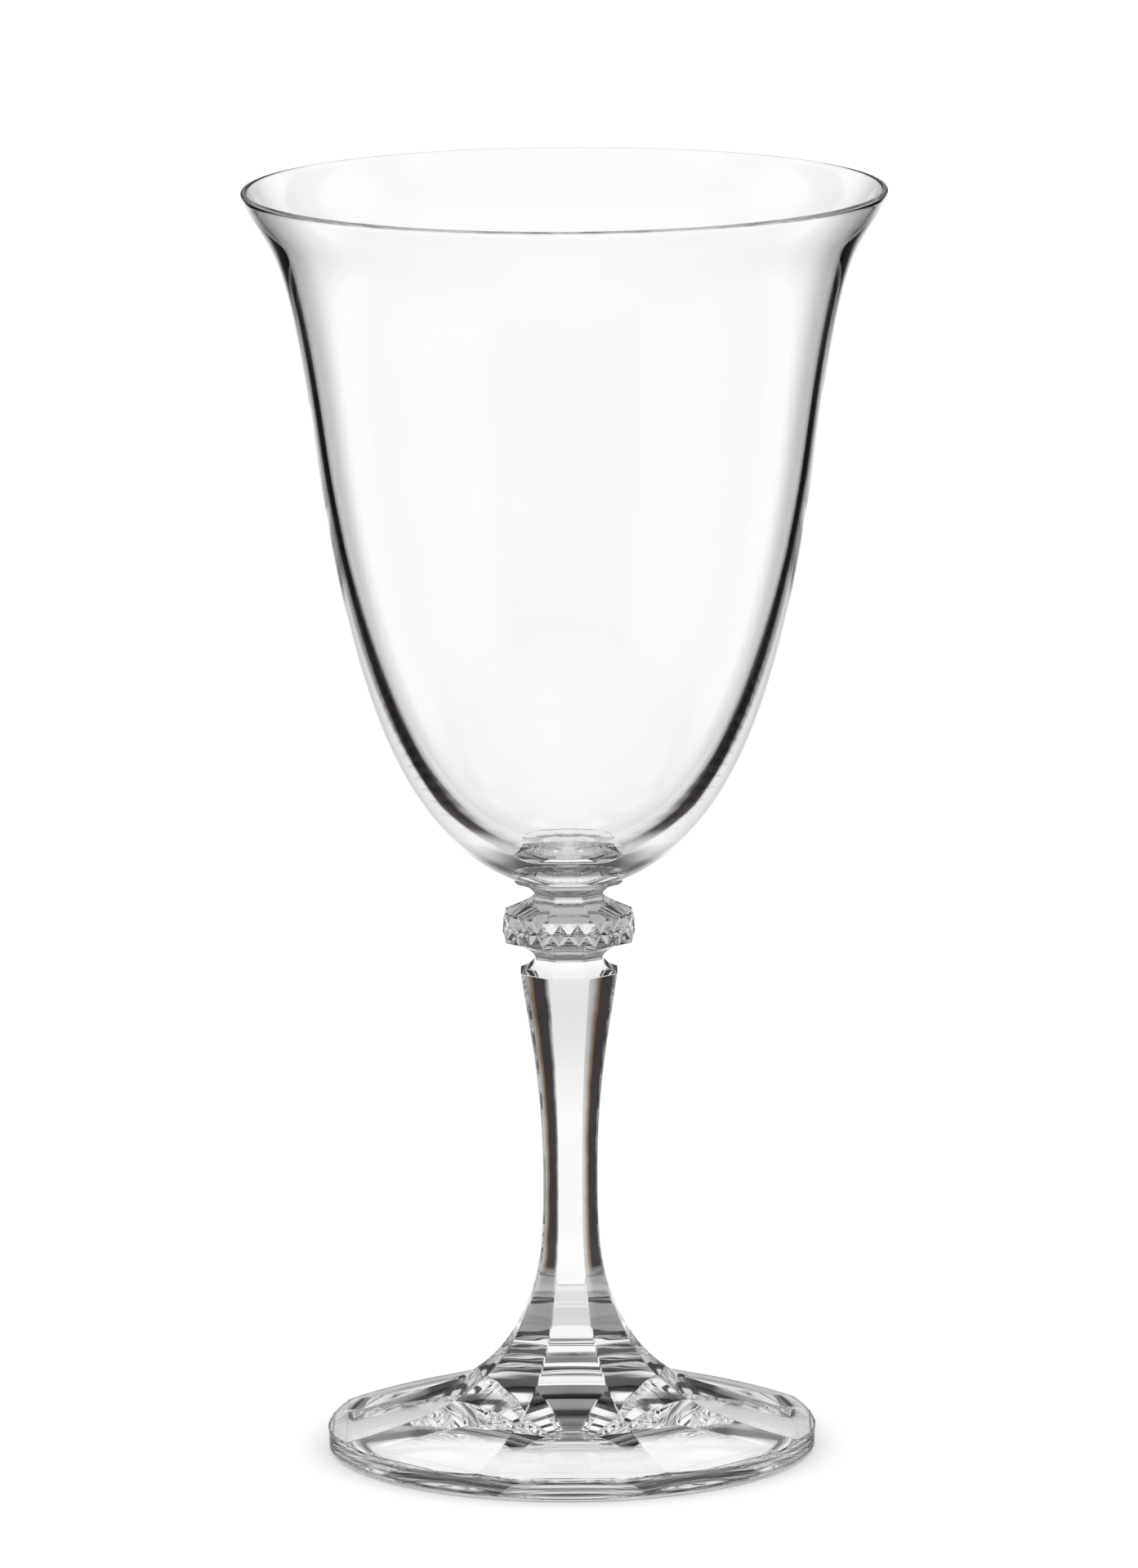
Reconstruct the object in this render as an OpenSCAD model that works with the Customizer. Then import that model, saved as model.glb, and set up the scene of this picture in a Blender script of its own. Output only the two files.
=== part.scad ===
// Red wine glass: a clear crystal goblet of five pieces, sealed to each other on one upright axis.
// A pressed foot carries an eight-sided stem, a cut knop, a merese and a thin blown bowl.
// The origin is the centre of the standing ring. +Z runs up the axis, and a flat side faces -Y.
// Widths of eight-sided pieces are measured across the flats. Sizes are in millimetres.

/* [Foot] */
// Diameter of the round foot
foot_diameter = 73.2; // [60:0.2:90]
// Height of the foot, from the table to the seal under the stem
foot_height = 28; // [24:0.5:36]
// Height of the foot's edge at the middle of a panel
foot_edge_height = 3.2; // [2.6:0.1:5]
// Radius of the rounded lower edge
foot_edge_round = 0.8; // [0.5:0.1:2.2]
// Slope of the panels at the edge, in degrees
panel_slope = 10; // [4:0.5:14]
// Length of the nearly flat outer stretch of a panel
panel_reach = 18; // [10:0.5:22]
// Length of the steep upper stretch of the flare
flare_drop = 19; // [12:0.5:20]
// Width of the flat ring that stands on the table
standing_ring_width = 2; // [1.5:0.5:4]
// Depth of the hollow under the foot, at its middle
hollow_depth = 4.5; // [1:0.1:6]

/* [Stem] */
// Length of the stem, from the seal on the foot to the seal under the knop
stem_length = 46.7; // [36:0.1:70]
// Width of the stem at the seal on the foot
stem_foot_width = 9.7; // [8:0.1:13]
// Lean of the sides at the seal on the foot, in degrees
stem_foot_lean = 11.5; // [4:0.5:16]
// Length of the leaning stretch above the seal on the foot
stem_foot_reach = 3; // [1:0.5:4]
// Width of the stem at its slimmest
stem_waist_width = 8.2; // [6:0.1:9.5]
// Height of the slimmest place above the seal on the foot
stem_waist_height = 13; // [8:0.5:20]
// Length of the upright stretch below the slimmest place
waist_lower_reach = 5; // [2:0.5:7]
// Length of the upright stretch above the slimmest place
waist_upper_reach = 14.5; // [8:0.5:18]
// Width of the stem at its shoulder
stem_shoulder_width = 14.4; // [11:0.1:18]
// Lean of the sides at the shoulder, in degrees
stem_shoulder_lean = 8; // [4:0.5:12]
// Length of the leaning stretch below the shoulder
stem_shoulder_reach = 9.5; // [5:0.5:12]
// Distance of the shoulder's edge below the seal under the knop
stem_shoulder_drop = 2.1; // [1.4:0.1:4]
// Rise of the bevel on the shoulder
stem_bevel_rise = 0.9; // [0.4:0.1:1.3]

/* [Knop] */
// Height of the knop, from seal to seal
knop_height = 9.4; // [8:0.1:13]
// Width of the neck below the knop
lower_neck_width = 10; // [8:0.1:10.9]
// Width of the neck above the knop
upper_neck_width = 10; // [8:0.1:12]
// Width of the knop's band
knop_width = 18.7; // [15:0.1:24]
// Height of the band with the diamonds
band_height = 4; // [3:0.1:5]
// Height of the band's lower edge above the lower seal
band_lift = 2.7; // [2:0.1:3]
// Height of the lower bevel's inner end above the lower seal
lower_bevel_lift = 1.5; // [0.5:0.1:1.8]
// Distance of the upper bevel's inner end below the upper seal
upper_bevel_drop = 0.8; // [0.4:0.1:1.2]
// Number of diamonds for each side of the band
diamonds_per_side = 3; // [2:1:4]
// Height of the diamonds' points above the band
diamond_relief = 0.5; // [0.2:0.05:0.8]
// Plain margin above and below the diamonds
diamond_margin = 0.1; // [0.05:0.05:0.4]

/* [Merese] */
// Height of the merese, from seal to seal
merese_height = 2.5; // [2:0.1:4]
// Diameter of the merese under the bowl
merese_diameter = 16.2; // [14:0.2:22]
// Thickness of the merese at the brim of its eight-sided form, before that is trimmed round
merese_edge = 0.3; // [0.2:0.05:0.5]
// Height of the hollow curve's corner above the lower seal
merese_corner_lift = 1.6; // [0.8:0.1:1.6]

/* [Bowl] */
// Height of the bowl, from the seal on the merese to the lip
bowl_height = 103.4; // [90:0.2:130]
// Diameter of the bowl across the lip
rim_diameter = 95.4; // [84:0.2:110]
// Thickness of the rounded lip
lip_wall = 0.9; // [0.7:0.05:1.4]
// Lean of the lip, in degrees from upright
lip_lean = 24; // [10:1:35]
// Length of the lip's turned-out stretch
lip_reach = 10; // [6:0.5:13]
// Diameter of the bowl at mid height
middle_diameter = 73.8; // [66:0.2:84]
// Height of that diameter above the seal
middle_height = 64.4; // [58:0.2:74]
// Wall at mid height
middle_wall = 1.5; // [0.8:0.05:1.8]
// Lean of the wall at mid height, in degrees from upright
middle_lean = 7.5; // [4:0.5:12]
// Length of the even stretch above mid height
upper_reach = 34.5; // [20:0.5:36]
// Length of the even stretch below mid height, outside
lower_reach = 38; // [30:0.5:44]
// Length of the even stretch below mid height, inside
inner_reach = 46; // [38:0.5:54]
// Thickness of the glass at the bottom of the bowl
base_wall = 3.8; // [2.5:0.1:6]
// Reach of the bottom's curve outside, from the merese
base_reach = 17.5; // [14:0.5:21]
// Rise of that curve at the merese, in degrees
base_rise = 22.5; // [16:0.5:28]
// Reach of the bottom's curve inside, from the axis
inner_base_reach = 16; // [10:0.5:20]

/* [Hidden] */

// Number of flat sides of the foot, stem and knop, and the turn from a side to a corner
sides = 8;
corner_turn = 180 / sides;

// Steps along one curve of a profile, and facets round the axis
curve_steps = 20;
cove_steps = 6;
$fn = 96;

// Heights of the seals, each the sum of the pieces below it
stem_base = foot_height;
knop_base = stem_base + stem_length;
merese_base = knop_base + knop_height;
bowl_base = merese_base + merese_height;

// Depth to which a diamond's root and base are sunk in the band
diamond_root = 1;
diamond_sink = 0.05;

// Depth of a cut past the face that it starts from
cut_through = 1;

// Distance that an eight-sided form stands past the round edge that trims it
round_trim = 0.4;

// Points along a curve that leaves a towards b and reaches d from c
function curve(a, b, c, d) =
    [for (i = [0:curve_steps])
        let (t = i / curve_steps, s = 1 - t)
        s * s * s * a + 3 * s * s * t * b + 3 * s * t * t * c + t * t * t * d];

// Points along a hollow curve from a to b that bends in a corner
function cove(a, corner, b) =
    [for (i = [0:cove_steps])
        let (t = i / cove_steps, s = 1 - t)
        s * s * a + 2 * s * t * corner + t * t * b];

// Points along a circle's arc
function arc(centre, radius, from, to) =
    [for (i = [0:cove_steps])
        let (angle = from + (to - from) * i / cove_steps)
        centre + radius * [cos(angle), sin(angle)]];

// Step of a given length that leans outward from upright by an angle
function lean_step(length, angle) = length * [sin(angle), cos(angle)];

// Eight-sided solid whose profile gives half the width across the flats at each height
module eight_sided(profile)
    rotate(corner_turn)
        rotate_extrude($fn = sides)
            polygon([for (p = profile) [p[0] / cos(corner_turn), p[1]]]);

// Side of the flare, from the stem's seal out to the foot's edge
flare_top = [stem_foot_width / 2, foot_height];
flare_edge = [foot_diameter / 2, foot_edge_height];
flare_side = curve(
    flare_top,
    flare_top + [flare_drop * tan(stem_foot_lean), -flare_drop],
    flare_edge + panel_reach * [-1, tan(panel_slope)],
    flare_edge + round_trim * [1, -tan(panel_slope)]);

// Radius inside the standing ring, and the radius of the sphere that hollows the foot
hollow_edge = foot_diameter / 2 - foot_edge_round - standing_ring_width;
hollow_radius = (hollow_edge * hollow_edge + hollow_depth * hollow_depth) / (2 * hollow_depth);
hollow_angle = asin(hollow_edge / hollow_radius);

module foot()
    color("white", 0.35)
        difference() {
            intersection() {
                eight_sided(concat(
                    [[0, foot_height]],
                    flare_side,
                    [[foot_diameter / 2 + round_trim, -cut_through], [0, -cut_through]]));
                rotate_extrude()
                    polygon(concat(
                        [[0, 0]],
                        arc([foot_diameter / 2 - foot_edge_round, foot_edge_round], foot_edge_round, -90, 0),
                        [[foot_diameter / 2, foot_height + cut_through], [0, foot_height + cut_through]]));
            }
            rotate_extrude()
                polygon(concat(
                    [[0, -cut_through], [hollow_edge, -cut_through]],
                    arc([0, hollow_depth - hollow_radius], hollow_radius, 90 - hollow_angle, 90)));
        }

// Side of the stem, from the seal on the foot to the neck under the knop
stem_waist = [stem_waist_width / 2, stem_waist_height];
stem_shoulder = [stem_shoulder_width / 2, stem_length - stem_shoulder_drop];
stem_neck = [lower_neck_width / 2, stem_length];
stem_lower_side = curve(
    [stem_foot_width / 2, 0],
    [stem_foot_width / 2, 0] + lean_step(stem_foot_reach, -stem_foot_lean),
    stem_waist - [0, waist_lower_reach],
    stem_waist);
stem_upper_side = curve(
    stem_waist,
    stem_waist + [0, waist_upper_reach],
    stem_shoulder - lean_step(stem_shoulder_reach, stem_shoulder_lean),
    stem_shoulder);
stem_bevel = cove(
    stem_shoulder,
    [stem_neck[0], stem_shoulder[1] + stem_bevel_rise],
    stem_neck);

module stem()
    color("white", 0.35)
        translate([0, 0, stem_base])
            eight_sided(concat(
                [[0, 0]],
                stem_lower_side,
                [for (i = [1:curve_steps]) stem_upper_side[i]],
                [for (i = [1:cove_steps]) stem_bevel[i]],
                [[0, stem_length]]));

// Sizes of the band and its diamonds
band_top = band_lift + band_height;
band_side = knop_width * tan(corner_turn);
diamond_pitch = band_side / diamonds_per_side;
diamond_height = band_height - 2 * diamond_margin;
band_corner = knop_width / 2 / cos(corner_turn);

// One diamond: a four-sided point on a rhombus that stands on the band, out along +Y
module diamond(seat, half_width, side_set_back)
    polyhedron(
        points = [
            [-half_width, seat - side_set_back - diamond_sink, 0],
            [half_width, seat - side_set_back - diamond_sink, 0],
            [0, seat - diamond_sink, diamond_height / 2],
            [0, seat - diamond_sink, -diamond_height / 2],
            [0, seat + diamond_relief, 0],
            [0, seat - diamond_root, 0]],
        faces = [
            [4, 2, 0], [4, 1, 2], [4, 3, 1], [4, 0, 3],
            [5, 0, 2], [5, 2, 1], [5, 1, 3], [5, 3, 0]]);

// Ring of diamonds: some stand on each flat side, and one bends round each corner
module diamonds()
    for (side = [0:sides - 1]) {
        rotate(side * 360 / sides)
            for (i = [1:diamonds_per_side - 1])
                translate([(i - diamonds_per_side / 2) * diamond_pitch, 0, 0])
                    diamond(knop_width / 2, diamond_pitch / 2, 0);
        rotate((side + 0.5) * 360 / sides)
            diamond(
                band_corner,
                diamond_pitch / 2 * cos(corner_turn),
                diamond_pitch / 2 * sin(corner_turn));
    }

module knop()
    color("white", 0.35)
        translate([0, 0, knop_base]) {
            eight_sided(concat(
                [[0, 0]],
                cove(
                    [lower_neck_width / 2, 0],
                    [lower_neck_width / 2, lower_bevel_lift],
                    [knop_width / 2, band_lift]),
                cove(
                    [knop_width / 2, band_top],
                    [upper_neck_width / 2, knop_height - upper_bevel_drop],
                    [upper_neck_width / 2, knop_height]),
                [[0, knop_height]]));
            translate([0, 0, band_lift + band_height / 2])
                diamonds();
        }

module bowl_merese()
    color("white", 0.35)
        translate([0, 0, merese_base])
            intersection() {
                eight_sided(concat(
                    [[0, 0]],
                    cove(
                        [upper_neck_width / 2, 0],
                        [upper_neck_width / 2, merese_corner_lift],
                        [merese_diameter / 2 + round_trim, merese_height - merese_edge]),
                    [[merese_diameter / 2 + round_trim, merese_height], [0, merese_height]]));
                // The round trim is turned so that its seam lies off the middle of a side
                rotate(corner_turn / 2)
                    translate([0, 0, -cut_through])
                        cylinder(h = merese_height + 2 * cut_through, d = merese_diameter);
            }

// Middle of the bowl's wall at mid height, outside and inside, and the lip's rounded end
middle_out = [middle_diameter / 2, middle_height];
middle_in = middle_out - middle_wall * [cos(middle_lean), -sin(middle_lean)];
lip_centre = [(rim_diameter - lip_wall) / 2, bowl_height - lip_wall / 2];
lip_half = lip_wall / 2 * [cos(lip_lean), -sin(lip_lean)];
seat_edge = [merese_diameter / 2, 0];

// Outside and inside of the wall, each in a lower and an upper curve
outer_lower = curve(
    seat_edge,
    seat_edge + base_reach * [cos(base_rise), sin(base_rise)],
    middle_out - lean_step(lower_reach, middle_lean),
    middle_out);
outer_upper = curve(
    middle_out,
    middle_out + lean_step(upper_reach, middle_lean),
    lip_centre + lip_half - lean_step(lip_reach, lip_lean),
    lip_centre + lip_half);
inner_upper = curve(
    lip_centre - lip_half,
    lip_centre - lip_half - lean_step(lip_reach, lip_lean),
    middle_in + lean_step(upper_reach, middle_lean),
    middle_in);
inner_lower = curve(
    middle_in,
    middle_in - lean_step(inner_reach, middle_lean),
    [inner_base_reach, base_wall],
    [0, base_wall]);

module bowl()
    color("white", 0.35)
        translate([0, 0, bowl_base])
            rotate_extrude()
                polygon(concat(
                    [[0, 0]],
                    outer_lower,
                    [for (i = [1:curve_steps - 1]) outer_upper[i]],
                    arc(lip_centre, lip_wall / 2, -lip_lean, 180 - lip_lean),
                    [for (i = [1:curve_steps - 1]) inner_upper[i]],
                    inner_lower));

foot();
stem();
knop();
bowl_merese();
bowl();
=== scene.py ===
import math

import bmesh
import bpy
from mathutils import Matrix, Vector
from mathutils.geometry import interpolate_bezier


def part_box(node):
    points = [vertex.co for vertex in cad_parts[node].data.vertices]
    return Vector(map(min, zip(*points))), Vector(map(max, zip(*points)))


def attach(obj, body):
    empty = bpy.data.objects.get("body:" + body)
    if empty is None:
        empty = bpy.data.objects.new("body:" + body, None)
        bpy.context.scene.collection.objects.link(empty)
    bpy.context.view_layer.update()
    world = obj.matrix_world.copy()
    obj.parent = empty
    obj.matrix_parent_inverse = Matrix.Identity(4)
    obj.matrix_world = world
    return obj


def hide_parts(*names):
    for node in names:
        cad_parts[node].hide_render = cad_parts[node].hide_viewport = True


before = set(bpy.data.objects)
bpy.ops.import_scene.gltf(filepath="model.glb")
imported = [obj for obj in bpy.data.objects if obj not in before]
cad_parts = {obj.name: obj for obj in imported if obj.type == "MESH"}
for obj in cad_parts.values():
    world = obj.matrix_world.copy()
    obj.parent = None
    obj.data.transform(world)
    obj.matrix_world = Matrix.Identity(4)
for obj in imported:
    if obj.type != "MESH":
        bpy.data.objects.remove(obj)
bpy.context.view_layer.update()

# Foot
# A round foot of clear crystal, pressed in a mould and fire polished. Eight flat panels sweep up from
# its edge to the stem, which is sealed hot to its top. It stands on a ring round a shallow hollow.
foot_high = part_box("foot")[1]
foot_radius = foot_high.x
foot_seal = foot_high.z
foot_edge_height = 0.0032
foot_edge_round = 0.0008
foot_brim_round = 0.0003
panel_slope = math.tan(math.radians(10))
panel_reach = 0.018
flare_drop = 0.019
flare_top_half = 0.00485
flare_top_lean = math.tan(math.radians(11.5))
flare_past_edge = 0.0004
standing_ring = 0.002
hollow_depth = 0.0045

side_count = 8
corner_turn = math.pi / side_count
ridge_round = 0.0002
round_steps = 192
curve_steps = 48
edge_steps = 6
hollow_steps = 24
smooth_angle = 25
cut_past = 0.001
merge_distance = 1e-6
corner_tolerance = 1e-4
level_normal = 0.999
seal_tolerance = 1e-5

crystal_index = 1.52
film_scale = 45.0
film_detail = 5.0
clear_tint = (1.0, 1.0, 1.0, 1)
film_tint = (0.985, 0.975, 0.985, 1)
waver_scale = 250.0
waver_detail = 3.0
waver_width = 0.2
wave_unit = math.tau / 20


def curve(start, leave, arrive, end, steps=curve_steps):
    """Points of a curve that leaves start towards one point and comes to end from another."""
    return [Vector(point) for point in interpolate_bezier(start, leave, arrive, end, steps + 1)]


def arc(centre, radius, first, last, steps):
    """Points along a circle's arc between two angles in degrees."""
    points = []
    for step in range(steps + 1):
        angle = math.radians(first + (last - first) * step / steps)
        points.append(centre + radius * Vector((math.cos(angle), math.sin(angle))))
    return points


def select_only(piece):
    """Make a piece the active one and the only one selected."""
    bpy.ops.object.select_all(action="DESELECT")
    bpy.context.view_layer.objects.active = piece
    piece.select_set(True)


def close_up():
    """Merge doubled points in edit mode, turn the faces outwards and go back to object mode."""
    bpy.ops.mesh.select_all(action="SELECT")
    bpy.ops.mesh.remove_doubles(threshold=merge_distance)
    bpy.ops.mesh.normals_make_consistent(inside=False)
    bpy.ops.object.mode_set(mode="OBJECT")


def turned_solid(name, side, steps, turn=0.0):
    """Draw half a section as a chain of edges from the axis to the axis, and spin it into a solid."""
    bpy.ops.object.select_all(action="DESELECT")
    bpy.ops.mesh.primitive_plane_add(size=merge_distance)
    piece = bpy.context.object
    piece.name = name
    piece.data.name = name
    bpy.ops.object.mode_set(mode="EDIT")
    bpy.ops.mesh.select_mode(type="VERT")
    bpy.ops.mesh.select_all(action="SELECT")
    bpy.ops.mesh.merge(type="CENTER")
    places = [Vector((r * math.cos(turn), r * math.sin(turn), z)) for r, z in side]
    bpy.ops.transform.translate(value=places[0])
    for last, place in zip(places, places[1:]):
        bpy.ops.mesh.extrude_vertices_move(TRANSFORM_OT_translate={"value": place - last})
    bpy.ops.mesh.select_all(action="SELECT")
    bpy.ops.mesh.spin(steps=steps, angle=math.tau, center=(0, 0, 0), axis=(0, 0, 1))
    close_up()
    return piece


def eight_sided_solid(name, side):
    """Spin a section with eight flat sides. Its widths are halves across the flats."""
    corner_side = [(half / math.cos(corner_turn), z) for half, z in side]
    return turned_solid(name, corner_side, side_count, corner_turn)


def pick(piece, kind, test):
    """Go into edit mode and select the vertices, edges or faces of a piece that pass a test."""
    select_only(piece)
    bpy.ops.object.mode_set(mode="EDIT")
    bpy.ops.mesh.select_mode(type=kind)
    bpy.ops.mesh.select_all(action="DESELECT")
    shape = bmesh.from_edit_mesh(piece.data)
    parts = {"VERT": shape.verts, "EDGE": shape.edges, "FACE": shape.faces}[kind]
    for part in parts:
        part.select_set(test(part))
    bmesh.update_edit_mesh(piece.data)


def is_ridge(edge):
    """True for an edge that runs up or down a corner of an eight-sided solid."""
    low, high = (vert.co for vert in edge.verts)
    if min(low.xy.length, high.xy.length) < merge_distance:
        return False
    return abs(low.xy.normalized().cross(high.xy.normalized())) < corner_tolerance


def soften(piece, test, width, segments=3):
    """Round the edges of a piece that pass a test, as fire polishing does."""
    pick(piece, "EDGE", test)
    bpy.ops.mesh.bevel(offset=width, segments=segments, affect="EDGES")
    bpy.ops.object.mode_set(mode="OBJECT")


def finish_by(piece, kind, **settings):
    """Add one modifier to a piece and apply it."""
    modifier = piece.modifiers.new(kind.title(), kind)
    for setting, value in settings.items():
        setattr(modifier, setting, value)
    select_only(piece)
    bpy.ops.object.modifier_apply(modifier=modifier.name)


def cut_by(piece, cutter, operation):
    """Trim a piece with another solid, which is then thrown away, and merge the points doubled by the cut."""
    finish_by(piece, "BOOLEAN", object=cutter, operation=operation, solver="EXACT")
    bpy.data.objects.remove(cutter)
    bpy.ops.object.mode_set(mode="EDIT")
    close_up()


def polish(piece, angle):
    """Smooth the curved stretches of a piece, and keep its flat sides flat."""
    select_only(piece)
    bpy.ops.object.shade_smooth_by_angle(angle=math.radians(angle))
    finish_by(piece, "WEIGHTED_NORMAL", mode="FACE_AREA", weight=50, keep_sharp=True)


def crystal_surface():
    """Node group for the skin of hot-worked crystal: a faint tint, haze and slow waves."""
    group = bpy.data.node_groups.new("crystal_surface", "ShaderNodeTree")
    sockets = group.interface
    sockets.new_socket("Wave Scale", in_out="INPUT", socket_type="NodeSocketFloat")
    sockets.new_socket("Haze", in_out="INPUT", socket_type="NodeSocketFloat")
    sockets.new_socket("Color", in_out="OUTPUT", socket_type="NodeSocketColor")
    sockets.new_socket("Roughness", in_out="OUTPUT", socket_type="NodeSocketFloat")
    sockets.new_socket("Height", in_out="OUTPUT", socket_type="NodeSocketFloat")
    nodes = group.nodes
    link = group.links.new
    given = nodes.new("NodeGroupInput")
    result = nodes.new("NodeGroupOutput")
    place = nodes.new("ShaderNodeTexCoord")
    waves = nodes.new("ShaderNodeTexNoise")
    waves.inputs["Detail"].default_value = 1.0
    link(place.outputs["Object"], waves.inputs["Vector"])
    link(given.outputs["Wave Scale"], waves.inputs["Scale"])
    link(waves.outputs["Fac"], result.inputs["Height"])
    film = nodes.new("ShaderNodeTexNoise")
    film.inputs["Scale"].default_value = film_scale
    film.inputs["Detail"].default_value = film_detail
    link(place.outputs["Object"], film.inputs["Vector"])
    haze = sum_of(group, "MULTIPLY", film.outputs["Fac"], given.outputs["Haze"])
    link(haze, result.inputs["Roughness"])
    tint = nodes.new("ShaderNodeMix")
    tint.data_type = "RGBA"
    tint.inputs["A"].default_value = clear_tint
    tint.inputs["B"].default_value = film_tint
    link(film.outputs["Fac"], tint.inputs["Factor"])
    link(tint.outputs["Result"], result.inputs["Color"])
    return group


def crystal(name, wave_scale, wave_depth, haze, clearness):
    """Clear crystal with the skin of its own making. The clearer it is, the less its front mirrors."""
    material = bpy.data.materials.new(name)
    material.use_nodes = True
    nodes = material.node_tree.nodes
    link = material.node_tree.links.new
    glass = nodes["Principled BSDF"]
    glass.inputs["Metallic"].default_value = 0.0
    glass.inputs["Transmission Weight"].default_value = 1.0
    glass.inputs["IOR"].default_value = crystal_index
    glass.inputs["Specular Tint"].default_value = (1 - clearness, 1 - clearness, 1 - clearness, 1)
    skin = nodes.new("ShaderNodeGroup")
    skin.node_tree = crystal_skin
    skin.inputs["Wave Scale"].default_value = wave_scale
    skin.inputs["Haze"].default_value = haze
    bump = nodes.new("ShaderNodeBump")
    bump.inputs["Distance"].default_value = wave_depth
    link(skin.outputs["Height"], bump.inputs["Height"])
    link(skin.outputs["Color"], glass.inputs["Base Color"])
    link(skin.outputs["Roughness"], glass.inputs["Roughness"])
    link(bump.outputs["Normal"], glass.inputs["Normal"])
    return material


def sum_of(tree, operation, *values):
    """One sum in a node tree. A value is a socket or a number."""
    node = tree.nodes.new("ShaderNodeMath")
    node.operation = operation
    for socket, value in zip(node.inputs, values):
        if isinstance(value, float):
            socket.default_value = value
        else:
            tree.links.new(value, socket)
    return node.outputs[0]


def parts_of(tree, vector):
    """The x, y and z sockets of a vector."""
    node = tree.nodes.new("ShaderNodeSeparateXYZ")
    tree.links.new(vector, node.inputs[0])
    return node.outputs[0], node.outputs[1], node.outputs[2]


def ramp(tree, value, steps):
    """Colours along a value. Each step is a place with a grey level or a colour."""
    node = tree.nodes.new("ShaderNodeValToRGB")
    for step in steps[2:]:
        node.color_ramp.elements.new(step[0])
    for element, (place, color) in zip(node.color_ramp.elements, steps):
        element.position = place
        element.color = (*color, 1) if isinstance(color, tuple) else (color, color, color, 1)
    tree.links.new(value, node.inputs["Fac"])
    return node.outputs["Color"]


def mix(tree, factor, first, second, blend="MIX"):
    """Mix two colour sockets."""
    node = tree.nodes.new("ShaderNodeMix")
    node.data_type = "RGBA"
    node.blend_type = blend
    tree.links.new(factor, node.inputs["Factor"])
    tree.links.new(first, node.inputs["A"])
    tree.links.new(second, node.inputs["B"])
    return node.outputs["Result"]


def darken(material, shade, where):
    """Paint shade into a crystal's colour, by a shade's colour where a mask is 1, on hits from outside."""
    tree = material.node_tree
    skin_color = tree.nodes["Principled BSDF"].inputs["Base Color"]
    side = tree.nodes.new("ShaderNodeNewGeometry")
    outside = sum_of(tree, "SUBTRACT", 1.0, side.outputs["Backfacing"])
    from_outside = sum_of(tree, "MULTIPLY", outside, where)
    tree.links.new(mix(tree, from_outside, skin_color.links[0].from_socket, shade, "MULTIPLY"), skin_color)


def share_between(tree, value, low, high):
    """How far a value has come from low to high, from 0 to 1."""
    share = tree.nodes.new("ShaderNodeMapRange")
    share.inputs["From Min"].default_value = low
    share.inputs["From Max"].default_value = high
    tree.links.new(value, share.inputs["Value"])
    return share.outputs["Result"]


def facing_of(tree):
    """0 where a surface is seen straight on, and 1 where it is seen edge on."""
    return tree.nodes.new("ShaderNodeLayerWeight").outputs["Facing"]


def upright_mask(tree, place):
    """1 on upright faces, and 0 on those that lean more than about half way to level."""
    slope = sum_of(tree, "ABSOLUTE", parts_of(tree, place.outputs["Normal"])[2])
    return ramp(tree, slope, [(0.0, 1.0), (0.5, 1.0), (0.75, 0.0)])


def level_bands(tree, place, wave, distortion, detail, detail_scale):
    """Level bands of a wave's length. A wave texture of scale 1 repeats at each wave unit."""
    bands = tree.nodes.new("ShaderNodeTexWave")
    bands.bands_direction = "Z"
    bands.inputs["Scale"].default_value = wave_unit / wave
    bands.inputs["Distortion"].default_value = distortion
    bands.inputs["Detail"].default_value = detail
    bands.inputs["Detail Scale"].default_value = detail_scale
    tree.links.new(place.outputs["Object"], bands.inputs["Vector"])
    return bands.outputs["Fac"]


def shade_facets(material, across, low, high, top):
    """Paint shade into upright facets that are seen aslant, standing in for the dark sides of a room seen
    through them.

    Across holds the painted shade from one ridge to the next, with a painted brown reflection in it.
    The shade comes in from low to high and ends at the top.
    """
    tree = material.node_tree
    place = tree.nodes.new("ShaderNodeTexCoord")
    x, y, z = parts_of(tree, place.outputs["Object"])
    turn = sum_of(tree, "ARCTAN2", y, x)
    share = sum_of(tree, "FRACT", sum_of(tree, "MULTIPLY_ADD", turn, 0.5 / corner_turn, 0.5))
    waver = tree.nodes.new("ShaderNodeTexNoise")
    waver.inputs["Scale"].default_value = waver_scale
    waver.inputs["Detail"].default_value = waver_detail
    tree.links.new(place.outputs["Object"], waver.inputs["Vector"])
    shift = sum_of(tree, "MULTIPLY_ADD", waver.outputs["Fac"], waver_width, -waver_width / 2)
    across_share = sum_of(tree, "ADD", share, shift)
    aslant = ramp(tree, facing_of(tree), [(0.0, 0.0), (0.1, 0.0), (0.22, 1.0), (0.5, 1.0), (0.9, 0.0)])
    upright_aslant = sum_of(tree, "MULTIPLY", upright_mask(tree, place), aslant)
    below_top = sum_of(tree, "LESS_THAN", z, top)
    between = sum_of(tree, "MULTIPLY", share_between(tree, z, low, high), below_top)
    where = sum_of(tree, "MULTIPLY", upright_aslant, between)
    darken(material, ramp(tree, across_share, across), where)


def shade_rim(material, wave, light, top):
    """Painted grey level lines round the upright rim of the foot, standing in for its own inside seen many
    times over.
    """
    tree = material.node_tree
    place = tree.nodes.new("ShaderNodeTexCoord")
    lines = level_bands(tree, place, wave, distortion=4.0, detail=3.0, detail_scale=0.2)
    below_top = sum_of(tree, "LESS_THAN", parts_of(tree, place.outputs["Object"])[2], top)
    where = sum_of(tree, "MULTIPLY", upright_mask(tree, place), below_top)
    darken(material, ramp(tree, lines, light), where)


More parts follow.
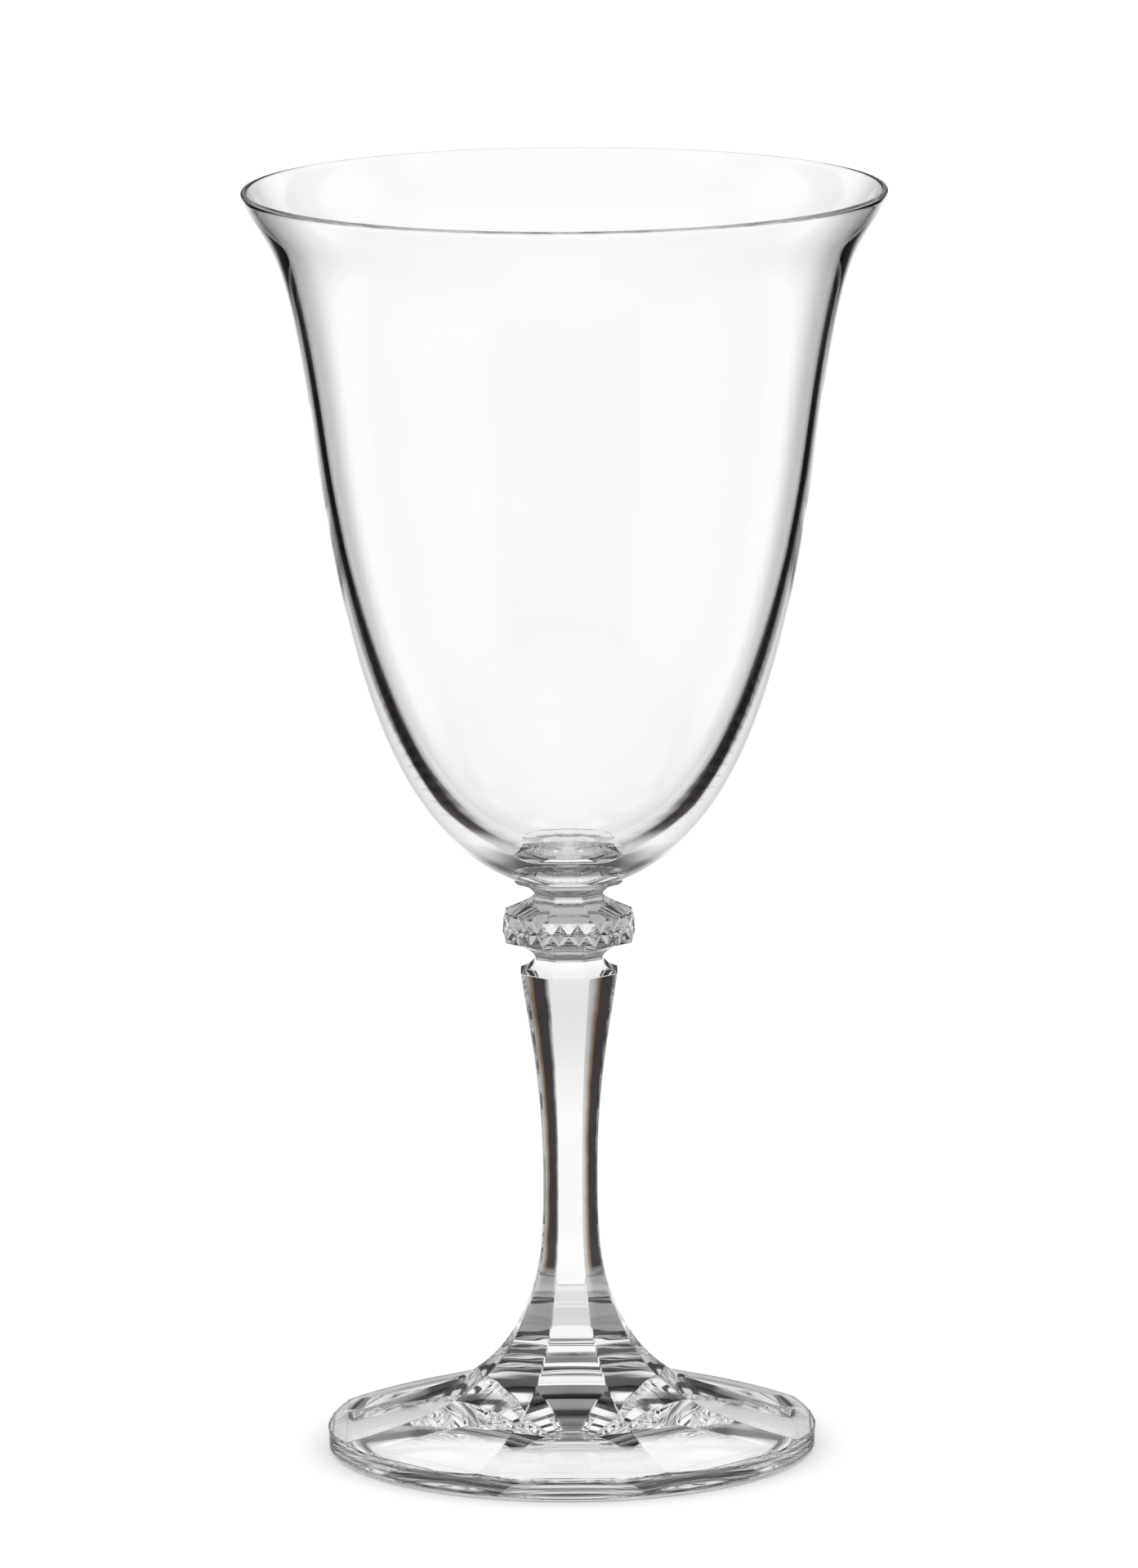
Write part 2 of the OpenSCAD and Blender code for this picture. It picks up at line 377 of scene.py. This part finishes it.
def add_ripples(material, wave, depth, low, high):
    """Level ripples on a pressed piece, from one height to another."""
    tree = material.node_tree
    glass_normal = tree.nodes["Principled BSDF"].inputs["Normal"]
    place = tree.nodes.new("ShaderNodeTexCoord")
    ripples = level_bands(tree, place, wave, distortion=3.0, detail=1.0, detail_scale=0.15)
    share = share_between(tree, parts_of(tree, place.outputs["Object"])[2], low, high)
    strong = ramp(tree, share, [(0.0, 0.0), (0.2, 1.0), (0.7, 1.0), (1.0, 0.0)])
    bump = tree.nodes.new("ShaderNodeBump")
    bump.inputs["Distance"].default_value = depth
    tree.links.new(sum_of(tree, "MULTIPLY", ripples, strong), bump.inputs["Height"])
    tree.links.new(glass_normal.links[0].from_socket, bump.inputs["Normal"])
    tree.links.new(bump.outputs["Normal"], glass_normal)


def seal_faces(piece, *heights):
    """Give the flat faces at these heights the look of a fused seal, where no surface is left."""

    def is_seal(face):
        if abs(face.normal.z) <= level_normal:
            return False
        return any(
            all(abs(vert.co.z - height) < seal_tolerance for vert in face.verts)
            for height in heights)

    piece.data.materials.append(fused_seal)
    pick(piece, "FACE", is_seal)
    piece.active_material_index = len(piece.data.materials) - 1
    bpy.ops.object.material_slot_assign()
    bpy.ops.object.mode_set(mode="OBJECT")


crystal_skin = crystal_surface()
pressed_crystal = crystal(
    "clear_pressed_crystal", wave_scale=120.0, wave_depth=0.000004, haze=0.01, clearness=0.5)

# Painted shade on the stem's and flare's upright facets where they are seen aslant: near black, with a
# painted brown reflection, and lighter at the ridges.
painted_facet_dark = (0.0015, 0.0008, 0.0008)
painted_brown_reflection = (0.09, 0.035, 0.01)
facet_painted_shade = [
    (0.0, 0.5), (0.15, 0.3), (0.25, 0.1), (0.3, painted_brown_reflection), (0.42, painted_facet_dark), (0.84, painted_facet_dark),
    (0.92, 0.1), (1.0, 0.6)]
facet_shade_fade = 0.012
shoulder_clearance = 0.0022
facet_shade_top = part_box("stem")[1].z - shoulder_clearance
shade_facets(pressed_crystal, facet_painted_shade, foot_seal - facet_shade_fade, foot_seal, facet_shade_top)

# Painted shade: grey level lines on the foot's rim, standing in for its inner reflections.
rim_wave = 0.0009
rim_painted_shade = [(0.0, 0.2), (0.5, 0.45), (1.0, 0.8)]
rim_shade_top = foot_edge_height * 1.1
shade_rim(pressed_crystal, rim_wave, rim_painted_shade, rim_shade_top)

ripple_wave = 0.0013
ripple_depth = 0.000008
ripple_start = foot_edge_height * 2
add_ripples(pressed_crystal, ripple_wave, ripple_depth, ripple_start, foot_seal)

fused_seal = bpy.data.materials.new("fused_seal")
fused_seal.use_nodes = True
fused_seal.node_tree.nodes["Principled BSDF"].inputs["Alpha"].default_value = 0.0

flare_top = Vector((flare_top_half, foot_seal))
flare_edge = Vector((foot_radius, foot_edge_height))
flare_side = curve(
    flare_top,
    flare_top + flare_drop * Vector((flare_top_lean, -1)),
    flare_edge + panel_reach * Vector((-1, panel_slope)),
    flare_edge + flare_past_edge * Vector((1, -panel_slope)))
foot = eight_sided_solid(
    "crystal_foot",
    [(0, foot_seal)] + flare_side + [(foot_radius + flare_past_edge, -cut_past), (0, -cut_past)])
soften(foot, is_ridge, ridge_round)

foot_disc = turned_solid(
    "foot_disc",
    [(0, 0)]
    + arc(Vector((foot_radius - foot_edge_round, foot_edge_round)), foot_edge_round, -90, 0, edge_steps)
    + [(foot_radius, foot_seal + cut_past), (0, foot_seal + cut_past)],
    round_steps)
cut_by(foot, foot_disc, "INTERSECT")

hollow_edge = foot_radius - foot_edge_round - standing_ring
hollow_radius = (hollow_edge ** 2 + hollow_depth ** 2) / (2 * hollow_depth)
hollow_half = math.degrees(math.asin(hollow_edge / hollow_radius))
foot_hollow = turned_solid(
    "foot_hollow",
    [(0, -cut_past), (hollow_edge, -cut_past)]
    + arc(Vector((0, hollow_depth - hollow_radius)), hollow_radius, 90 - hollow_half, 90, hollow_steps),
    round_steps)
cut_by(foot, foot_hollow, "DIFFERENCE")

brim_start = foot_radius * 0.999
least_brim_bend = 1.0


def is_brim(edge):
    """True for an edge where a panel of the foot meets its round wall."""
    if min(vert.co.xy.length for vert in edge.verts) < brim_start:
        return False
    return edge.is_manifold and edge.calc_face_angle() > least_brim_bend


soften(foot, is_brim, foot_brim_round)
foot.data.materials.clear()
foot.data.materials.append(pressed_crystal)
seal_faces(foot, foot_seal)
polish(foot, smooth_angle)
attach(foot, "root")
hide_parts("foot")

# Stem
# A solid eight-sided stem of the same crystal, drawn slim above the foot and widening to a shoulder.
# Its ends are sealed hot to the foot and to the knop.
stem_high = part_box("stem")[1]
stem_seal = stem_high.z
stem_foot_reach = 0.003
waist_half = 0.0041
waist_rise = 0.013
waist_lower_reach = 0.005
waist_upper_reach = 0.0145
shoulder_half = stem_high.y
shoulder_drop = 0.0021
shoulder_lean = math.radians(8)
shoulder_reach = 0.0095
shoulder_bevel_rise = 0.0009
lower_neck_half = 0.005
cove_steps = 12


def cove(start, corner, end):
    """Points of a hollow curve from start to end that bends in a corner."""
    return curve(start, start.lerp(corner, 2 / 3), end.lerp(corner, 2 / 3), end, cove_steps)


flare_lean = math.atan(flare_top_lean)
stem_waist = Vector((waist_half, foot_seal + waist_rise))
stem_shoulder = Vector((shoulder_half, stem_seal - shoulder_drop))
stem_side = curve(
    flare_top,
    flare_top + stem_foot_reach * Vector((-math.sin(flare_lean), math.cos(flare_lean))),
    stem_waist - Vector((0, waist_lower_reach)),
    stem_waist)
stem_side += curve(
    stem_waist,
    stem_waist + Vector((0, waist_upper_reach)),
    stem_shoulder - shoulder_reach * Vector((math.sin(shoulder_lean), math.cos(shoulder_lean))),
    stem_shoulder)[1:]
stem_side += cove(
    stem_shoulder,
    Vector((lower_neck_half, stem_shoulder.y + shoulder_bevel_rise)),
    Vector((lower_neck_half, stem_seal)))[1:]
stem = eight_sided_solid("crystal_stem", [(0, foot_seal)] + stem_side + [(0, stem_seal)])
soften(stem, is_ridge, ridge_round)
stem.data.materials.append(pressed_crystal)
seal_faces(stem, foot_seal, stem_seal)
polish(stem, smooth_angle)
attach(stem, "root")
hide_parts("stem")

# Knop
# An eight-sided knop between two necks, pressed of the same crystal. A band of diamonds is cut
# round it, and its bevels are left plain. It is sealed to the stem below and the merese above.
knop_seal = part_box("knop")[1].z
knop_half = 0.00935
upper_neck_half = 0.005
lower_bevel_lift = 0.0015
lower_bevel_height = 0.0027
band_height = 0.004
upper_bevel_drop = 0.0008
diamond_margin = 0.0001
diamond_relief = 0.0005
diamond_columns = 6
row_tolerance = 1e-5
knop_smooth_angle = 12

band_low = stem_seal + lower_bevel_height
band_high = band_low + band_height
band_middle = (band_low + band_high) / 2
band_rows = [band_low, band_low + diamond_margin, band_middle, band_high - diamond_margin, band_high]
knop_side = cove(
    Vector((lower_neck_half, stem_seal)),
    Vector((lower_neck_half, stem_seal + lower_bevel_lift)),
    Vector((knop_half, band_low)))
knop_side += [Vector((knop_half, row)) for row in band_rows[1:-1]]
knop_side += cove(
    Vector((knop_half, band_high)),
    Vector((upper_neck_half, knop_seal - upper_bevel_drop)),
    Vector((upper_neck_half, knop_seal)))
knop = eight_sided_solid("cut_knop", [(0, stem_seal)] + knop_side + [(0, knop_seal)])


def is_in_band(vert):
    """True for a point of the band, past its lower and upper edges."""
    return band_low + row_tolerance < vert.co.z < band_high - row_tolerance


def is_band_row(edge):
    """True for an edge that runs level round the band, between the diamonds' ends."""
    first, last = edge.verts
    return is_in_band(first) and is_in_band(last) and abs(first.co.z - last.co.z) < merge_distance


pick(knop, "EDGE", is_band_row)
bpy.ops.mesh.subdivide(number_cuts=diamond_columns - 1)
bpy.ops.object.mode_set(mode="OBJECT")


def is_diamond_point(vert):
    """True for a point half way up the band that stands on a corner or two columns from one."""
    if abs(vert.co.z - band_middle) > merge_distance:
        return False
    side = round(math.atan2(vert.co.y, vert.co.x) / (2 * corner_turn)) * 2 * corner_turn
    along = -vert.co.x * math.sin(side) + vert.co.y * math.cos(side)
    column = round(along / (2 * knop_half * math.tan(corner_turn) / diamond_columns))
    return column % 2 != 0


pick(knop, "VERT", is_diamond_point)
point_scale = 1 + diamond_relief / knop_half
bpy.ops.transform.resize(value=(point_scale, point_scale, 1), center_override=(0, 0, band_middle))
bpy.ops.object.mode_set(mode="OBJECT")


def is_diamond_face(face):
    """True for a face of the band between the diamonds' ends."""
    return all(is_in_band(vert) for vert in face.verts)


pick(knop, "FACE", is_diamond_face)
bpy.ops.mesh.quads_convert_to_tris(quad_method="SHORTEST_DIAGONAL")
bpy.ops.object.mode_set(mode="OBJECT")


def is_knop_ridge(edge):
    """True for a corner's edge off the band of diamonds."""
    low_end = band_low + merge_distance
    high_end = band_high - merge_distance
    off_band = all(vert.co.z < low_end or vert.co.z > high_end for vert in edge.verts)
    return off_band and is_ridge(edge)


soften(knop, is_knop_ridge, ridge_round)
cut_crystal = crystal("clear_cut_crystal", wave_scale=150.0, wave_depth=0.00001, haze=0.008, clearness=0.3)
# Painted shade: the knop and merese turn grey by the angle at which they are seen.
cut_painted_shade = [(0.0, 0.9), (0.05, 0.75), (0.15, 0.5), (0.3, 0.3), (0.5, 0.25), (0.8, 0.6), (1.0, 1.0)]
cut_tree = cut_crystal.node_tree
darken(cut_crystal, ramp(cut_tree, facing_of(cut_tree), cut_painted_shade), 1.0)
knop.data.materials.append(cut_crystal)
seal_faces(knop, stem_seal, knop_seal)
polish(knop, knop_smooth_angle)
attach(knop, "root")
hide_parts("knop")

# Merese
# A small wafer of the same crystal that joins the knop to the bowl. It is eight-sided at the neck
# and pressed out to a round edge under the bowl.
merese_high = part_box("bowl_merese")[1]
bowl_seal = merese_high.z
merese_radius = merese_high.x
merese_edge = 0.0003
merese_corner_lift = 0.0016
merese_past_edge = 0.0004

merese = eight_sided_solid(
    "crystal_merese",
    [(0, knop_seal)]
    + cove(
        Vector((upper_neck_half, knop_seal)),
        Vector((upper_neck_half, knop_seal + merese_corner_lift)),
        Vector((merese_radius + merese_past_edge, bowl_seal - merese_edge)))
    + [(merese_radius + merese_past_edge, bowl_seal), (0, bowl_seal)])
soften(merese, is_ridge, ridge_round)
merese_disc = turned_solid(
    "merese_disc",
    [(0, knop_seal - cut_past), (merese_radius, knop_seal - cut_past),
     (merese_radius, bowl_seal + cut_past), (0, bowl_seal + cut_past)],
    round_steps)
cut_by(merese, merese_disc, "INTERSECT")
merese.data.materials.clear()
merese.data.materials.append(cut_crystal)
seal_faces(merese, knop_seal, bowl_seal)
polish(merese, smooth_angle)
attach(merese, "root")
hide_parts("bowl_merese")

# Bowl
# A thin bowl of blown crystal that opens to a flared lip. Its lip is cut and melted round, and its
# thick bottom is sealed to the merese.
rim_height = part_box("bowl")[1].z
rim_radius = 0.0477
lip_wall = 0.0009
lip_lean = 24
lip_reach = 0.01
middle_out = Vector((0.0369, bowl_seal + 0.0644))
middle_lean = math.radians(7.5)
middle_wall = 0.0015
upper_reach = 0.0345
lower_reach = 0.038
inner_reach = 0.046
base_wall = 0.0038
base_reach = 0.0175
base_rise = math.radians(22.5)
inner_base_reach = 0.016
bowl_steps = 256
lip_steps = 12
bowl_smooth_angle = 18

middle_up = Vector((math.sin(middle_lean), math.cos(middle_lean)))
middle_in = middle_out - middle_wall * Vector((middle_up.y, -middle_up.x))
lip_up = Vector((math.sin(math.radians(lip_lean)), math.cos(math.radians(lip_lean))))
lip_centre = Vector((rim_radius - lip_wall / 2, rim_height - lip_wall / 2))
lip_out = lip_centre + lip_wall / 2 * Vector((lip_up.y, -lip_up.x))
lip_in = lip_centre - lip_wall / 2 * Vector((lip_up.y, -lip_up.x))
seat_edge = Vector((merese_radius, bowl_seal))
bowl_side = [Vector((0, bowl_seal))]
bowl_side += curve(
    seat_edge,
    seat_edge + base_reach * Vector((math.cos(base_rise), math.sin(base_rise))),
    middle_out - lower_reach * middle_up,
    middle_out)
bowl_side += curve(
    middle_out,
    middle_out + upper_reach * middle_up,
    lip_out - lip_reach * lip_up,
    lip_out)[1:-1]
bowl_side += arc(lip_centre, lip_wall / 2, -lip_lean, 180 - lip_lean, lip_steps)
bowl_side += curve(
    lip_in,
    lip_in - lip_reach * lip_up,
    middle_in + upper_reach * middle_up,
    middle_in)[1:]
bowl_side += curve(
    middle_in,
    middle_in - inner_reach * middle_up,
    Vector((inner_base_reach, bowl_seal + base_wall)),
    Vector((0, bowl_seal + base_wall)))[1:]
bowl = turned_solid("blown_bowl", bowl_side, bowl_steps)
blown_skin = {"wave_scale": 40.0, "wave_depth": 0.00001, "haze": 0.008, "clearness": 0.75}
blown_crystal = crystal("clear_blown_crystal", **blown_skin)
inside_crystal = crystal("clear_bowl_inside", **blown_skin)
line_spread = 0.2


def shade_wall(material, lines, line_painted_shade, seat_painted_shade):
    """Paint a dark shade on the line where sight grazes the inside of the wall, and a painted shade on the
    seat over the merese.

    Each line is a share of the bowl's height, with the facing of the outside there and half the
    line's width.
    """
    tree = material.node_tree
    place = tree.nodes.new("ShaderNodeTexCoord")
    share = share_between(tree, parts_of(tree, place.outputs["Object"])[2], bowl_seal, rim_height)
    facing = facing_of(tree)
    line_facing = ramp(tree, share, [(height, middle) for height, middle, half in lines])
    line_half = ramp(tree, share, [(height, half) for height, middle, half in lines])
    in_halves = sum_of(tree, "DIVIDE", sum_of(tree, "SUBTRACT", facing, line_facing), line_half)
    along = sum_of(tree, "MULTIPLY_ADD", in_halves, line_spread, 0.5)
    on_wall = ramp(tree, share, [(0.0, 0.0), (0.05, 0.0), (0.1, 1.0), (0.87, 1.0), (0.96, 0.0)])
    darken(material, ramp(tree, along, line_painted_shade), on_wall)
    on_seat = ramp(tree, share, [(0.0, 0.0), (0.018, 0.0), (0.026, 1.0), (0.04, 1.0), (0.05, 0.0)])
    darken(material, ramp(tree, facing, seat_painted_shade), on_seat)


# Painted shade: a near black line along the bowl's wall, and a dark band over its seat.
painted_line_dark = (0.015, 0.01, 0.011)
shade_wall(
    blown_crystal,
    [(0.0, 0.46, 0.03), (0.08, 0.48, 0.04), (0.13, 0.565, 0.05), (0.25, 0.6, 0.05), (0.34, 0.64, 0.045),
     (0.49, 0.72, 0.035), (0.61, 0.76, 0.033), (0.75, 0.78, 0.024), (1.0, 0.8, 0.02)],
    [(0.0, 1.0), (0.06, 1.0), (0.2, 0.5), (0.3, painted_line_dark), (0.68, painted_line_dark), (0.78, 0.8), (0.9, 1.0)],
    [(0.0, 1.0), (0.3, 0.6), (0.5, 0.16), (0.7, 0.1), (0.9, 0.8)])
bowl.data.materials.append(blown_crystal)
bowl.data.materials.append(inside_crystal)
pick(bowl, "FACE", lambda face: face.normal.xy.dot(face.calc_center_median().xy) < 0)
bowl.active_material_index = 1
bpy.ops.object.material_slot_assign()
bpy.ops.object.mode_set(mode="OBJECT")
seal_faces(bowl, bowl_seal)
select_only(bowl)
bpy.ops.object.shade_smooth_by_angle(angle=math.radians(bowl_smooth_angle))
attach(bowl, "root")
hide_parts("bowl")

# Studio
# A wide white table in an even white light, which keeps the glass's soft shadow. Rays that have been in the
# glass pass the table by and see the light alone, so that the glass shows a clean white ground.
table_radius = 8.0
table_sides = 64
table_drop = 0.0001
table_white = 0.92
table_fill = 0.2

bpy.ops.object.select_all(action="DESELECT")
bpy.ops.mesh.primitive_circle_add(
    vertices=table_sides, radius=table_radius, fill_type="NGON", location=(0, 0, -table_drop))
table = bpy.context.object
table.name = "table"
bpy.ops.object.transform_apply(location=True)
table_paint = bpy.data.materials.new("table_paint")
table_paint.use_nodes = True
paint_tree = table_paint.node_tree
paint_link = paint_tree.links.new
paint = paint_tree.nodes["Principled BSDF"]
paint.inputs["Base Color"].default_value = (table_white, table_white, table_white, 1)
paint.inputs["Roughness"].default_value = 1.0
paint.inputs["Specular IOR Level"].default_value = 0.0
paint.inputs["Emission Color"].default_value = (1, 1, 1, 1)
ray = paint_tree.nodes.new("ShaderNodeLightPath")
camera_fill = sum_of(paint_tree, "MULTIPLY", ray.outputs["Is Camera Ray"], table_fill)
paint_link(camera_fill, paint.inputs["Emission Strength"])
through_glass = sum_of(
    paint_tree, "MAXIMUM", ray.outputs["Is Glossy Ray"], ray.outputs["Is Transmission Ray"])
nothing = paint_tree.nodes.new("ShaderNodeBsdfTransparent")
paint_or_nothing = paint_tree.nodes.new("ShaderNodeMixShader")
paint_link(through_glass, paint_or_nothing.inputs["Fac"])
paint_link(paint.outputs["BSDF"], paint_or_nothing.inputs[1])
paint_link(nothing.outputs["BSDF"], paint_or_nothing.inputs[2])
paint_link(paint_or_nothing.outputs["Shader"], paint_tree.nodes["Material Output"].inputs["Surface"])
table.data.materials.append(table_paint)

# Light: an even white. Seen through the glass it is darker overhead. Seen by reflection in the glass it is
# a room of light and dark stretches, with a floor, walls, a row of screens above them and soft boxes at
# the top. Aside goes from 0 behind the glass to 1 on the camera's side, and rise from straight down to up.
world = bpy.data.worlds.new("studio")
bpy.context.scene.world = world
world.use_nodes = True
sky = world.node_tree
way = sky.nodes.new("ShaderNodeTexCoord")
way_x, way_y, way_z = parts_of(sky, way.outputs["Generated"])
round_axis = sum_of(sky, "ARCTAN2", way_x, way_y)
rise = sum_of(sky, "MULTIPLY_ADD", way_z, 0.5, 0.5)
height_level = ramp(sky, rise, [
    (0.0, 0.93), (0.12, 0.95), (0.3, 1.0), (0.43, 1.0), (0.5, 0.75), (0.57, 0.5), (0.7, 0.4), (0.76, 0.2),
    (0.9, 0.2), (1.0, 0.1)])

aside = sum_of(sky, "DIVIDE", sum_of(sky, "ABSOLUTE", round_axis), math.pi)
wall_level = ramp(sky, aside, [
    (0.0, 1.0), (0.06, 1.0), (0.085, 0.4), (0.1, 0.06), (0.15, 0.02), (0.27, 0.02), (0.31, 0.3), (0.33, 1.0),
    (0.42, 1.0), (0.44, 0.6), (0.58, 0.6), (0.6, 1.0), (0.78, 1.0), (0.81, 0.03), (1.0, 0.03)])
screen_level = ramp(sky, aside, [
    (0.0, 0.2), (0.03, 0.3), (0.05, 0.08), (0.15, 0.08), (0.18, 0.3), (0.24, 0.85), (0.28, 1.0), (1.0, 1.0)])
soft_box_level = ramp(sky, aside, [
    (0.0, 0.3), (0.02, 0.3), (0.035, 1.0), (0.09, 1.0), (0.11, 0.05), (0.145, 0.05), (0.16, 1.0), (0.21, 1.0),
    (0.23, 0.05), (0.28, 0.05), (0.3, 1.0), (0.48, 1.0), (0.52, 0.2), (0.6, 0.2), (0.63, 1.0), (1.0, 1.0)])
floor_level = ramp(sky, aside, [
    (0.0, 0.95), (0.1, 0.9), (0.2, 0.4), (0.4, 0.33), (0.6, 0.38), (0.8, 0.45), (0.9, 0.7), (1.0, 0.7)])
above_floor = ramp(sky, rise, [(0.0, 0.0), (0.14, 0.0), (0.19, 1.0), (1.0, 1.0)])
above_wall = ramp(sky, rise, [(0.0, 0.0), (0.43, 0.0), (0.46, 1.0), (1.0, 1.0)])
above_screen = ramp(sky, rise, [(0.0, 0.0), (0.67, 0.0), (0.7, 1.0), (1.0, 1.0)])
overhead = ramp(sky, rise, [
    (0.0, 1.0), (0.64, 1.0), (0.66, 0.06), (0.72, 0.06), (0.74, 1.0), (0.82, 1.0), (0.86, 0.1), (0.9, 0.1),
    (0.93, 0.8), (1.0, 0.3)])
lower_room = mix(sky, above_wall, mix(sky, above_floor, floor_level, wall_level), screen_level)
room_level = mix(sky, above_screen, lower_room, soft_box_level)
reflected_room = sum_of(sky, "MULTIPLY", room_level, overhead)

sky_ray = sky.nodes.new("ShaderNodeLightPath")
in_glass = sum_of(sky, "MAXIMUM", sky_ray.outputs["Is Glossy Ray"], sky_ray.outputs["Is Transmission Ray"])
reflected = sum_of(sky, "MINIMUM", sky_ray.outputs["Glossy Depth"], 1.0)
even_white = sky.nodes.new("ShaderNodeRGB")
even_white.outputs[0].default_value = (1, 1, 1, 1)
glass_view = mix(sky, reflected, height_level, reflected_room)
light = sky.nodes["Background"]
light.inputs["Strength"].default_value = 1.0
sky.links.new(mix(sky, in_glass, even_white.outputs[0], glass_view), light.inputs["Color"])

# Camera: a long lens above the rim, looking down and turned by a third of a degree
camera_away = 1.72187
camera_height = 0.41975
camera_aside = 0.00016
camera_down = math.radians(10.496)
camera_roll = math.radians(0.36)
camera_lens = 270.41
camera_sensor = 36.0
camera_data = bpy.data.cameras.new("camera")
camera_data.sensor_width = camera_sensor
camera_data.lens = camera_lens
camera = bpy.data.objects.new("camera", camera_data)
bpy.context.scene.collection.objects.link(camera)
camera.matrix_world = (
    Matrix.Translation((camera_aside, -camera_away, camera_height))
    @ Matrix.Rotation(math.pi / 2 - camera_down, 4, "X")
    @ Matrix.Rotation(-camera_roll, 4, "Z"))
bpy.context.scene.camera = camera

scene = bpy.context.scene
scene.view_settings.view_transform = "Standard"
scene.cycles.max_bounces = 128
scene.cycles.transmission_bounces = 64
scene.cycles.glossy_bounces = 96
scene.cycles.transparent_max_bounces = 32
